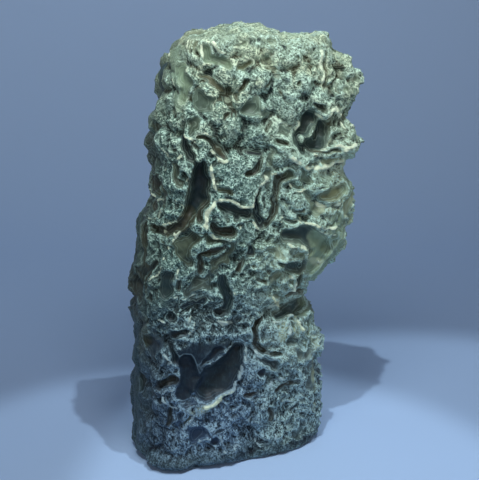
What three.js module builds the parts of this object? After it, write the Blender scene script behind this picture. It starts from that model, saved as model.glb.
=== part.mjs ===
import * as THREE from 'three';
import { mergeVertices } from 'three/addons/utils/BufferGeometryUtils.js';

// A moldavite: one upright piece of natural green glass, deeply etched, on a small flat foot.
// Millimetres, +Z up. Azimuth 0 is the broad etched face, which looks along -Y.

// Glass colour and finish of the whole piece.
const glass = { color: 0x4d6560, roughness: 0.5, metalness: 0 };

// Grid of the skin before it is wrapped: columns round the stone and rows from crown to foot.
const columns = 68;
const rows = 71;
const frontTurns = [-0.2, 0.3];       // turns round the section that the front takes up
const frontColumns = 0.66;            // share of the columns on the front
const crownRows = 0.1;                // share of the rows on the crown
const footRows = 0.06;                // share of the rows on the foot

// Cross-section, half-width and half-depth 1, from the near left corner round by the right.
const section = [
  [-0.62, -1.0], [0.05, -0.8], [0.7, -0.45], [1.0, 0.05], [0.86, 0.62],
  [0.35, 0.93], [-0.35, 1.0], [-0.88, 0.8], [-1.0, 0.28], [-0.9, -0.42],
];
// Left and right edge of the front, and half the depth, each as [height, value].
const leftEdge = [
  [0, -17.2], [5, -17.0], [9, -16.6], [11.7, -16.0], [14, -16.5], [18, -16.3], [23, -16.4], [28, -15.8],
  [33, -15.0], [37, -13.6], [42, -12.9], [45.6, -13.3], [48, -13.2], [51, -12.2], [55, -12.0],
  [57, -10.9], [59, -9.6], [61, -8.6],
];
const rightEdge = [
  [0, 11.0], [3, 10.8], [6, 11.4], [12, 11.1], [16, 11.1], [19, 10.1], [21, 9.8], [22.4, 8.5],
  [23.6, 8.9], [25.2, 10.4], [28, 12.4], [31, 14.2], [36, 15.0], [39.3, 15.3], [41.5, 13.9],
  [43.8, 14.9], [45, 16.4], [47, 15.2], [49, 14.2], [53.5, 15.3], [56, 14.8], [58, 12.6], [61, 11.6],
];
const halfDepth = [[0, 9.8], [6, 9.4], [15, 9.2], [35, 8.8], [50, 7.7], [57, 6.6], [61, 5.6]];
// Height of the crown as [x, height]; the right lobe stands lower than the body.
const crown = [
  [-13, 57.2], [-10.4, 58.3], [-9, 59.5], [-8, 60.7], [-5, 60.7], [-2.4, 61.2], [-0.6, 61.5],
  [2, 60.5], [4.8, 59.8], [6.4, 60.5], [8.2, 61.1], [10.2, 61.1], [11, 60.4], [11.8, 57.8],
  [12.4, 56.9], [13.4, 57.5], [14.6, 57.4], [15.4, 56.8],
];
const shoulder = 1.1;      // how far the skin's edge lies below the crown
const footRadius = 1.2;    // rounding round the flat foot
const footShare = 0.86;    // share of the foot that is flat
const backFall = 0.035;    // the crown falls away to the back
const browHeight = 58.5;   // height at which the crown's edge is read
const crownMiddle = [1.6, 0.4, 60];
const footMiddle = [-2.8, 0, 0];

// Hollows of the front: each point of a path is [x, height, radius].
const hollows = [
  // long trough on the left, curling out to the left edge
  { depth: 2.3, path: [[-5.7, 44.6, 1.0], [-5.6, 42, 1.5], [-6.1, 40, 1.8], [-7.4, 38, 1.2]] },
  { depth: 1.5, path: [[-7.4, 38, 1.2], [-8.7, 36.2, 1.1], [-10.4, 35.3, 0.9], [-12.6, 34.7, 0.7]] },
  // slot beside the trough, and the oval pit below it
  { depth: 1.2, path: [[-5.1, 39.2, 0.6], [-5.9, 37.4, 0.7]] },
  { depth: 1.5, path: [[-4.1, 36.1, 0.8], [-3.6, 35.3, 1.0], [-1.7, 35.3, 0.95]] },
  { depth: 1.4, path: [[-3.0, 38.7, 0.8], [-1.2, 38.0, 1.0], [0.7, 37.4, 0.9]] },
  // knobbed hollow under the right lobe
  {
    depth: 2.4,
    path: [[9.0, 49.6, 1.3], [7.6, 47.4, 1.2], [8.4, 45.6, 1.3], [10.4, 46.6, 1.6], [11.2, 48.8, 1.2]],
  },
  { depth: 1.0, path: [[6.9, 43.9, 0.6], [9.6, 43.6, 0.5], [11.6, 44.0, 0.7], [13.2, 44.6, 0.5]] },
  // troughs round the leaf-shaped island
  {
    depth: 1.6,
    path: [[6.0, 42.6, 0.9], [4.9, 41.6, 0.9], [4.6, 39.6, 0.7], [4.2, 37.6, 0.7], [3.2, 35.9, 0.8]],
  },
  { depth: 1.6, path: [[2.2, 40.8, 0.6], [1.5, 39.0, 0.7], [1.6, 37.2, 0.8], [2.8, 35.9, 0.8]] },
  { depth: 1.0, path: [[1.9, 44.6, 0.6], [0.8, 43.0, 0.8]] },
  // smooth windows of the right edge
  { depth: 0.9, path: [[10.9, 38.8, 1.3], [13.2, 39.0, 1.3]] },
  { depth: 1.3, path: [[6.2, 33.8, 1.5], [8.6, 33.6, 1.7], [10.6, 31.6, 1.6], [9.6, 28.8, 1.4]] },
  // slots in the middle
  { depth: 1.2, path: [[-5.6, 32.3, 0.6], [-2.4, 32.6, 0.5]] },
  { depth: 1.3, path: [[-5.8, 31.8, 0.65], [-5.7, 29.6, 0.6]] },
  { depth: 1.1, path: [[0.1, 31.0, 0.6], [-0.6, 29.4, 0.6]] },
  { depth: 1.3, path: [[-2.4, 27.6, 0.8], [-2.2, 24.4, 1.0], [-3.6, 23.1, 0.7]] },
  // notch of the right edge and the dark face under it
  { depth: 1.8, path: [[7.6, 26.6, 0.9], [7.0, 24.8, 1.0], [9.0, 24.2, 1.0]] },
  { depth: 0.9, path: [[5.0, 21.7, 0.9], [8.4, 22.7, 0.9]] },
  // curved groove round the pale island of the lower right
  {
    depth: 1.3,
    path: [[2.6, 21.9, 0.6], [1.6, 20.0, 0.65], [1.7, 18.2, 0.65], [2.8, 16.7, 0.7], [5.2, 16.2, 0.5]],
  },
  { depth: 1.0, path: [[6.7, 20.1, 0.55], [6.9, 19.4, 0.55]] },
  // great dark hollow: a shallow upper step and a deep floor
  { depth: 1.3, path: [[-6.6, 16.4, 2.2], [-3.0, 17.6, 1.7], [-0.8, 18.0, 1.0]] },
  { depth: 2.6, path: [[-6.0, 12.6, 1.7], [-3.9, 13.6, 3.0], [-2.0, 15.6, 2.2], [-0.6, 17.6, 1.1]] },
  { depth: 1.5, path: [[-9.5, 19.2, 0.6], [-8.9, 15.6, 0.8], [-8.0, 12.6, 0.8]] },
  // pits at the left foot
  { depth: 1.5, path: [[-11.4, 13.3, 1.1], [-9.8, 13.9, 1.1]] },
  { depth: 1.0, path: [[-11.5, 10.9, 0.65]] },
  { depth: 0.9, path: [[-10.6, 9.3, 0.6], [-10.7, 7.4, 0.55]] },
  // left side, top to bottom
  { depth: 1.0, path: [[-7.9, 50.0, 0.5], [-7.6, 47.0, 1.0], [-6.6, 45.8, 0.9]] },
  { depth: 0.8, path: [[-12.6, 37.4, 1.0]] },
  { depth: 0.9, path: [[-10.2, 28.8, 1.2], [-10.3, 26.8, 1.2]] },
  { depth: 1.0, path: [[-12.6, 30.2, 0.7], [-13.5, 26.6, 0.8]] },
  { depth: 0.9, path: [[-9.8, 23.5, 0.9], [-9.2, 21.2, 0.9]] },
  // top band
  { depth: 1.3, path: [[-5.8, 61, 0.45], [-5.8, 59, 0.5], [-5.2, 56.4, 0.5]] },
  { depth: 0.9, path: [[-8.4, 56.4, 1.3], [-7.5, 54.6, 1.1], [-8.0, 52.8, 0.8]] },
  { depth: 1.1, path: [[-4.8, 59.0, 0.9], [-3.2, 57.8, 0.9], [-1.7, 57.2, 0.6]] },
  { depth: 1.0, path: [[2.0, 60.0, 0.55], [1.0, 57.8, 0.55], [-0.5, 56.3, 0.6]] },
  { depth: 1.0, path: [[0.0, 55.2, 0.65], [-0.7, 53.2, 0.6]] },
  { depth: 0.9, path: [[-5.8, 55.6, 0.6], [-4.4, 55.2, 0.6], [-2.9, 54.2, 0.6]] },
  { depth: 1.3, path: [[11.9, 59.2, 0.7], [10.6, 56.6, 0.5], [10.9, 53.4, 0.5]] },
  { depth: 0.8, path: [[13.1, 54.8, 0.8], [12.6, 52.6, 0.8]] },
  // rough lower right
  { depth: 0.9, path: [[4.4, 10.5, 0.7], [5.6, 11.2, 0.8], [7.6, 11.0, 0.7]] },
  { depth: 0.8, path: [[3.6, 7.8, 0.7], [3.7, 6.2, 0.8]] },
  { depth: 0.7, path: [[7.4, 7.1, 0.9]] },
];

// Saddle across the crown between the body and the right lobe, each point [x, y, height, radius].
const saddle = { depth: 1.3, path: [[12.0, -4.5, 57.6, 1.0], [11.9, 0, 58.6, 1.0], [11.7, 4.5, 58.6, 1.1]] };

// Islands, knobs and lips that stand up from the front, in the same form.
const risen = [
  { height: 0.3, path: [[3.2, 40.0, 0.8], [3.1, 37.6, 0.6]] },
  { height: -0.4, path: [[8.2, 47.0, 0.6]] },
  { height: -0.4, path: [[10.0, 47.8, 0.5]] },
  { height: 0.4, path: [[-5.0, 47.1, 0.8], [-5.6, 45.8, 0.7]] },
  { height: 0.5, path: [[-9.6, 47.6, 1.1], [-9.4, 45.4, 0.9]] },
  { height: 0.1, path: [[5.9, 31.2, 0.8], [8.0, 31.1, 0.8]] },
  { height: 0.6, path: [[5.3, 27.0, 0.9], [5.6, 26.0, 0.9]] },
  { height: 0.5, path: [[3.6, 19.8, 1.0], [4.8, 18.4, 1.1]] },
  { height: 0.5, path: [[-2.8, 45.0, 0.6], [-3.7, 42.4, 0.5], [-3.0, 39.9, 0.5], [0.4, 38.7, 0.4]] },
  { height: 0.5, path: [[0.8, 12.6, 1.0], [0.9, 15.4, 0.6]] },
  { height: 0.6, path: [[-2.2, 10.2, 0.7], [-5.8, 8.8, 0.8]] },
  { height: 1.0, path: [[-9.5, 0.9, 2.2], [-2.5, 0.9, 2.2]] },
  { height: 0.6, path: [[14.6, 45.2, 1.2]] },
  { height: 0.6, path: [[13.6, 40.6, 1.3]] },
];

// The flanks and the back carry hollows of the same kind, spread by a golden-ratio sequence.
const hiddenHollows = 34;
const hiddenTurns = [0.33, 0.78];
const hiddenHeights = [5, 57];

const lumpSize = 3.3;      // spacing of the rounded lumps between the hollows
const lumpHeight = 1.3;
const lumpReach = 0.8;      // a lump's foot, as a share of the spacing
const lumpFloor = -0.2;     // the creases between lumps end here
const lumpSink = 0.72;      // the lumps sit this share of their height inside the plain column
const swell = 0.35;        // slow rise and fall of the whole skin
const swellSize = 9;
const rimHeight = 0.22;    // lip round a hollow
const rimWidth = 0.35;

const clamp = (value, low, high) => Math.min(Math.max(value, low), high);
const mix = (a, b, share) => a + (b - a) * share;
const fraction = (value) => value - Math.floor(value);

// Smooth curve through [position, value] pairs.
function curve(points, position) {
  const last = points.length - 1;
  const at = clamp(position, points[0][0], points[last][0]);
  let i = 0;
  while (i < last - 1 && at >= points[i + 1][0]) i += 1;
  const slope = (k) => {
    const a = points[Math.max(k - 1, 0)];
    const b = points[Math.min(k + 1, last)];
    return (b[1] - a[1]) / (b[0] - a[0]);
  };
  const span = points[i + 1][0] - points[i][0];
  const f = (at - points[i][0]) / span;
  const start = (2 * f ** 3 - 3 * f ** 2 + 1) * points[i][1] + (f ** 3 - 2 * f ** 2 + f) * span * slope(i);
  return start + (3 * f ** 2 - 2 * f ** 3) * points[i + 1][1] + (f ** 3 - f ** 2) * span * slope(i + 1);
}

// Point of the cross-section at a turn from 0 to 1.
function sectionAt(turn) {
  const place = fraction(turn) * section.length;
  const i = Math.floor(place);
  const f = place - i;
  const p = [-1, 0, 1, 2].map((k) => section[(i + k + section.length) % section.length]);
  return [0, 1].map((axis) => {
    const [a, b, c, d] = p.map((point) => point[axis]);
    const start = (2 * f ** 3 - 3 * f ** 2 + 1) * b + (f ** 3 - 2 * f ** 2 + f) * 0.5 * (c - a);
    return start + (3 * f ** 2 - 2 * f ** 3) * c + (f ** 3 - f ** 2) * 0.5 * (d - b);
  });
}

// Point of the plain column at a turn and a height.
function skinAt(turn, height) {
  const left = curve(leftEdge, height);
  const right = curve(rightEdge, height);
  const [across, deep] = sectionAt(turn);
  const x = (left + right) / 2 + (right - left) / 2 * across;
  return new THREE.Vector3(x, curve(halfDepth, height) * deep, height);
}

// Point of the front of the plain column at a given x and height.
function frontAt(x, height) {
  let low = -0.2;
  let high = 0.3;
  for (let step = 0; step < 30; step += 1) {
    const half = (low + high) / 2;
    if (skinAt(half, height).x < x) low = half;
    else high = half;
  }
  return skinAt((low + high) / 2, height);
}

// Repeatable value from 0 to 1 for a lattice cell.
function cellValue(i, j, k, salt) {
  return fraction(Math.sin(i * 127.1 + j * 311.7 + k * 74.7 + salt * 53.3) * 43758.5453);
}

// Distance from a point to the nearest lump centre, in cells, with one centre in each cell.
function lumpDistance(p, size) {
  const [x, y, z] = [p.x / size, p.y / size, p.z / size];
  const base = [Math.floor(x), Math.floor(y), Math.floor(z)];
  let nearest = 9;
  for (let n = 0; n < 27; n += 1) {
    const i = base[0] + (n % 3) - 1;
    const j = base[1] + (Math.floor(n / 3) % 3) - 1;
    const k = base[2] + Math.floor(n / 9) - 1;
    const dx = i + cellValue(i, j, k, 1) - x;
    const dy = j + cellValue(i, j, k, 2) - y;
    const dz = k + cellValue(i, j, k, 3) - z;
    nearest = Math.min(nearest, Math.hypot(dx, dy, dz));
  }
  return nearest;
}

// Places a path of the front on the plain column.
function placeFront(path) {
  return path.map(([x, height, radius]) => ({ at: frontAt(x, height), radius }));
}

// Nearest point of a path to p: its distance as a share of the path's radius there, and the radius.
function reach(path, p) {
  let best = { share: p.distanceTo(path[0].at) / path[0].radius, radius: path[0].radius };
  for (let i = 1; i < path.length; i += 1) {
    const a = path[i - 1];
    const b = path[i];
    const run = b.at.clone().sub(a.at);
    const f = clamp(p.clone().sub(a.at).dot(run) / run.lengthSq(), 0, 1);
    const radius = mix(a.radius, b.radius, f);
    const share = p.distanceTo(a.at.clone().addScaledVector(run, f)) / radius;
    if (share < best.share) best = { share, radius };
  }
  return best;
}

// Hollows of the flanks and the back.
function hiddenPaths() {
  const paths = [];
  for (let n = 1; n <= hiddenHollows; n += 1) {
    const turn = mix(...hiddenTurns, fraction(n * 0.618034));
    const height = mix(...hiddenHeights, fraction(n * 0.754878));
    const radius = mix(0.9, 2.2, fraction(n * 0.569840) ** 2);
    const drop = mix(1, 6, fraction(n * 0.381966));
    const sway = mix(-0.03, 0.03, fraction(n * 0.819173));
    const end = skinAt(turn + sway, Math.max(height - drop, 2));
    const path = [{ at: skinAt(turn, height), radius }, { at: end, radius: radius * 0.7 }];
    paths.push({ depth: mix(0.7, 1.7, fraction(n * 0.245122)), path });
  }
  return paths;
}

const allHollows = [
  ...hollows.map(({ depth, path }) => ({ depth, path: placeFront(path) })),
  {
    depth: saddle.depth,
    path: saddle.path.map(([x, y, z, radius]) => ({ at: new THREE.Vector3(x, y, z), radius })),
  },
  ...hiddenPaths(),
];
const allRisen = risen.map(({ height, path }) => ({ height, path: placeFront(path) }));

// How far the etched skin stands out from the plain column at p.
function relief(p) {
  const lump = 1 - (lumpDistance(p, lumpSize) / lumpReach) ** 2;
  const wave = Math.sin(p.x / swellSize * 5 + 1.3) * Math.sin(p.z / swellSize * 4 + p.y * 0.5);
  const rough = lumpHeight * (clamp(lump, lumpFloor, 1) - lumpSink) + swell * wave;
  let cut = 0;
  let rim = 0;
  let calm = 0;
  for (const { depth, path } of allHollows) {
    const { share, radius } = reach(path, p);
    const edge = (share - 1) * radius;
    rim = Math.max(rim, Math.exp(-((edge - 0.15) ** 2) / rimWidth ** 2));
    if (share < 1) {
      cut = Math.max(cut, depth * (1 - share ** 3));
      calm = Math.max(calm, 1 - share ** 6);
    }
  }
  let out = rough * (1 - calm) + rimHeight * rim * (1 - calm) - cut;
  for (const { height, path } of allRisen) {
    const { share } = reach(path, p);
    if (share < 1) out = mix(out, Math.max(out, height), 1 - share ** 4);
  }
  return out;
}

// Turn round the section for a share of the columns: they crowd together on the front.
function turnOf(share) {
  if (share < frontColumns) return mix(...frontTurns, share / frontColumns);
  return mix(frontTurns[1], frontTurns[0] + 1, (share - frontColumns) / (1 - frontColumns));
}

// Wraps a place on the grid into the plain column; level is 0 at the crown's middle, 1 at the foot's.
function wrap(share, level) {
  const turn = turnOf(share);
  const edgeHeight = curve(crown, skinAt(turn, browHeight).x) - shoulder;
  if (level < crownRows) {
    const out = (level / crownRows) ** 0.8;
    const p = new THREE.Vector3(...crownMiddle).lerp(skinAt(turn, edgeHeight), out);
    const top = curve(crown, p.x) - backFall * Math.max(p.y - 1, 0) ** 2;
    p.z = mix(edgeHeight, Math.max(top, edgeHeight), (1 - out ** 4) ** 0.5);
    return p;
  }
  if (level > 1 - footRows) {
    const out = ((1 - level) / footRows) ** 0.6;
    const p = new THREE.Vector3(...footMiddle).lerp(skinAt(turn, footRadius), out);
    const round = clamp((out - footShare) / (1 - footShare), 0, 1);
    p.z = footRadius * (1 - Math.sqrt(1 - round ** 2));
    return p;
  }
  const down = (level - crownRows) / (1 - crownRows - footRows);
  return skinAt(turn, mix(edgeHeight, footRadius, down));
}

function buildStone() {
  const ball = new THREE.SphereGeometry(1, columns, rows);
  ball.deleteAttribute('normal');
  ball.deleteAttribute('uv');
  const grid = ball.getAttribute('position');
  for (let row = 0; row <= rows; row += 1) {
    for (let column = 0; column <= columns; column += 1) {
      const p = wrap((column % columns) / columns, row / rows);
      grid.setXYZ(row * (columns + 1) + column, p.x, p.y, p.z);
    }
  }
  const skin = mergeVertices(ball);
  const spots = skin.getAttribute('position');
  skin.computeVertexNormals();
  const normals = skin.getAttribute('normal');
  const plain = new THREE.Vector3();
  const normal = new THREE.Vector3();
  for (let i = 0; i < spots.count; i += 1) {
    plain.fromBufferAttribute(spots, i);
    normal.fromBufferAttribute(normals, i);
    const hold = clamp(plain.z / footRadius, 0, 1);
    plain.addScaledVector(normal, relief(plain) * hold);
    spots.setXYZ(i, plain.x, plain.y, Math.max(plain.z, 0));
  }
  // The origin is the middle of the stone's box, on the foot.
  skin.computeBoundingBox();
  const centre = skin.boundingBox.getCenter(new THREE.Vector3());
  skin.translate(-centre.x, -centre.y, -skin.boundingBox.min.z);
  skin.computeVertexNormals();
  const mesh = new THREE.Mesh(skin, new THREE.MeshStandardMaterial(glass));
  mesh.name = 'stone';
  return mesh;
}

const group = new THREE.Group();
group.add(buildStone());

export default group;
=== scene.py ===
import math
from types import SimpleNamespace as Values

import bmesh
import bpy
import numpy as np
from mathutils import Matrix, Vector


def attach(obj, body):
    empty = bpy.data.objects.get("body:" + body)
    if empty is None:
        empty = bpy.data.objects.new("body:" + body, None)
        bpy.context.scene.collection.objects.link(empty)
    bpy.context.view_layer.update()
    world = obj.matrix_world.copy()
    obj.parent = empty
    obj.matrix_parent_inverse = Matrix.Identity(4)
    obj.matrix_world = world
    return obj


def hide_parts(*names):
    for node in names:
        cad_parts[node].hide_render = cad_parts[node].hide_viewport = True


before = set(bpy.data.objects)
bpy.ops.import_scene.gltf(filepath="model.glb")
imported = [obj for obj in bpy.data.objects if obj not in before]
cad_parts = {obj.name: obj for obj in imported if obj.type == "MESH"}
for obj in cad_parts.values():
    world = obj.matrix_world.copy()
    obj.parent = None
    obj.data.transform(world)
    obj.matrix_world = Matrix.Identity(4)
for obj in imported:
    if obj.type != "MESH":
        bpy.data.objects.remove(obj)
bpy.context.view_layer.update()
print("frame loaded")

# Shape values are in millimetres. x goes across the stone, the front faces -y, and the foot is at height 0.
# The finished stone is set on the floor with the middle of its box over the origin.
mm = 0.001

picture = Values(
    lookDown=20.0,  # degrees below the level
    distance=158.5,
    lens=85.0,
    aim=(0.6, 0.33, 30.0),
    shiftX=-0.0135,
    shiftY=0.019,
    clip=(0.01, 10.0),
)

# The plain column that the relief is worked into.
column = Values(
    aroundCount=300,
    upCount=331,
    frontTurns=(-0.2, 0.3),  # turns round the section that face the viewer
    frontShare=0.66,  # share of the columns of faces there
    crownShare=0.1,
    footShare=0.06,
    frontSamples=600,
    crownSpread=0.8,
    footSpread=0.6,
    shoulder=1.1,
    footRadius=1.2,
    footFlat=0.86,
    backFall=0.035,
    backFallFrom=1,
    flankShare=[(0, 0.2), (28, 0.2), (37, 0.1), (48, 0.1), (54, 0.16), (61, 0.2)],
    flankFade=(1, 0.15),
    browHeight=58.5,
    crownMiddle=(1.6, 0.4, 60.0),
    footMiddle=(-2.8, 0.0, 0.0),
)
section = [
    (-0.62, -1), (0.05, -0.8), (0.7, -0.45), (1, 0.05), (0.86, 0.62),
    (0.35, 0.93), (-0.35, 1), (-0.88, 0.8), (-1, 0.28), (-0.9, -0.42),
]
# (height, value) of the front's left and right edge and of half the depth, and (x, height) of the crown
leftEdge = [
    (0, -17.2), (5, -17), (9, -16.6), (11.7, -16), (14, -16.5), (18, -16.3), (23, -16.4), (28, -15.8),
    (33, -15), (37, -13.6), (42, -12.9), (45.6, -13.3), (48, -13.2), (51, -12.2), (55, -12),
    (57, -10.9), (59, -9.6), (61, -8.6),
]
rightEdge = [
    (0, 11), (3, 10.8), (6, 11.4), (12, 11.1), (16, 11.1), (19, 10.1), (21, 9.8), (22.4, 8.5),
    (23.6, 8.9), (25.2, 10.4), (28, 12.4), (31, 14.2), (36, 15), (39.3, 15.3), (41.5, 13.9),
    (43.8, 14.9), (45, 16.4), (47, 15.2), (49, 14.2), (53.5, 15.3), (56, 14.8), (58, 12.6), (61, 11.6),
]
halfDepth = [(0, 9.5), (6, 9.1), (15, 8.9), (35, 8.6), (50, 7.7), (57, 6.6), (61, 5.6)]
crown = [
    (-13, 57.2), (-10.4, 57.9), (-9, 59.5), (-8, 60.7), (-5, 60.5), (-2.4, 60.9), (-0.6, 61.3),
    (2, 61), (4.8, 60.2), (6.4, 59.9), (8.2, 60.1), (10.2, 60.4), (11, 60.2), (11.8, 58.2),
    (12.4, 56.8), (13.4, 57.7), (14.6, 58.2), (15.4, 57),
]


def clamp(value, low=0.0, high=1.0):
    return np.minimum(np.maximum(value, low), high)


def mix(a, b, share):
    return a + (b - a) * share


# 0 below low, 1 above high, smooth between
def ease(low, high, value):
    f = clamp((value - low) / (high - low))
    return f * f * (3 - 2 * f)


def fraction(value):
    return value - np.floor(value)


# smooth step from start to end as f goes from 0 to 1, with the slopes at both
def hermite(f, start, end, startSlope, endSlope, span):
    return ((2 * f**3 - 3 * f**2 + 1) * start + (f**3 - 2 * f**2 + f) * span * startSlope
            + (3 * f**2 - 2 * f**3) * end + (f**3 - f**2) * span * endSlope)


# smooth curve through (position, value) pairs
def curve(points, position):
    places = np.array([p[0] for p in points], float)
    values = np.array([p[1] for p in points], float)
    slopes = np.empty(len(points))
    slopes[1:-1] = (values[2:] - values[:-2]) / (places[2:] - places[:-2])
    slopes[0] = (values[1] - values[0]) / (places[1] - places[0])
    slopes[-1] = (values[-1] - values[-2]) / (places[-1] - places[-2])
    at = clamp(np.asarray(position, float), places[0], places[-1])
    i = clamp(np.searchsorted(places, at, side="right") - 1, 0, len(points) - 2)
    span = places[i + 1] - places[i]
    return hermite((at - places[i]) / span, values[i], values[i + 1], slopes[i], slopes[i + 1], span)


def sectionAt(turn):
    points = np.array(section)
    count = len(points)
    place = fraction(np.asarray(turn, float)) * count
    i = np.floor(place).astype(int) % count
    f = (place - np.floor(place))[..., None]
    a, b, c, d = (points[(i + k) % count] for k in (-1, 0, 1, 2))
    return hermite(f, b, c, c - a, d - b, 0.5)


def skinAt(turn, height):
    turn, height = np.broadcast_arrays(np.asarray(turn, float), np.asarray(height, float))
    left, right = curve(leftEdge, height), curve(rightEdge, height)
    flat = sectionAt(turn)
    x = (left + right) / 2 + (right - left) / 2 * flat[..., 0]
    return np.stack([x, curve(halfDepth, height) * flat[..., 1], height], -1)


# the point of the front at a given x and height
def frontAt(x, height):
    turns = np.linspace(*column.frontTurns, column.frontSamples)
    left, right = curve(leftEdge, height), curve(rightEdge, height)
    turn = np.interp((x - (left + right) / 2) / ((right - left) / 2), sectionAt(turns)[:, 0], turns)
    return skinAt(turn, height)


# Any unrelated numbers do for the noise, but others give another stone.
noise = Values(
    cellWeights=np.array([127.1, 311.7, 74.7]), saltWeight=53.3, spread=43758.5453,
    saltShift=7.31, cornerSalt=11,
    # turns the lattice off the axes
    tilt=np.array([(0.36, 0.48, -0.8), (-0.8, 0.6, 0.0), (0.48, 0.64, 0.6)]),
)
farAway = 9.0  # more than any distance that is compared with it


# repeatable value from 0 to 1 for a lattice cell
def cellValue(cell, salt):
    return fraction(np.sin(cell @ noise.cellWeights + salt * noise.saltWeight) * noise.spread)


# distance in cells to the nearest of the spots scattered one to a cell
def nearestSpot(points, size):
    spots = points / size
    base = np.floor(spots)
    nearest = np.full(len(spots), farAway)
    for n in range(27):
        cell = base + np.array([n % 3 - 1, n // 3 % 3 - 1, n // 9 - 1])
        seed = np.stack([cellValue(cell, k) for k in (1, 2, 3)], -1)
        nearest = np.minimum(nearest, np.linalg.norm(cell + seed - spots, axis=1))
    return nearest


# soft noise from -1 to 1
def grain(points, size, salt=0):
    spots = points @ noise.tilt / size + salt * noise.saltShift
    base = np.floor(spots)
    f = ease(0, 1, spots - base)
    total = np.zeros(len(spots))
    for n in range(8):
        corner = np.array([n & 1, n >> 1 & 1, n >> 2 & 1])
        weight = np.prod(np.where(corner, f, 1 - f), axis=1)
        total += weight * cellValue(base + corner, salt + noise.cornerSalt)
    return total * 2 - 1


# The tones of the glass, as the columns of the tone mask.
brown, teal, olive, night, navy, sage, cream = tones = range(7)

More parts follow.
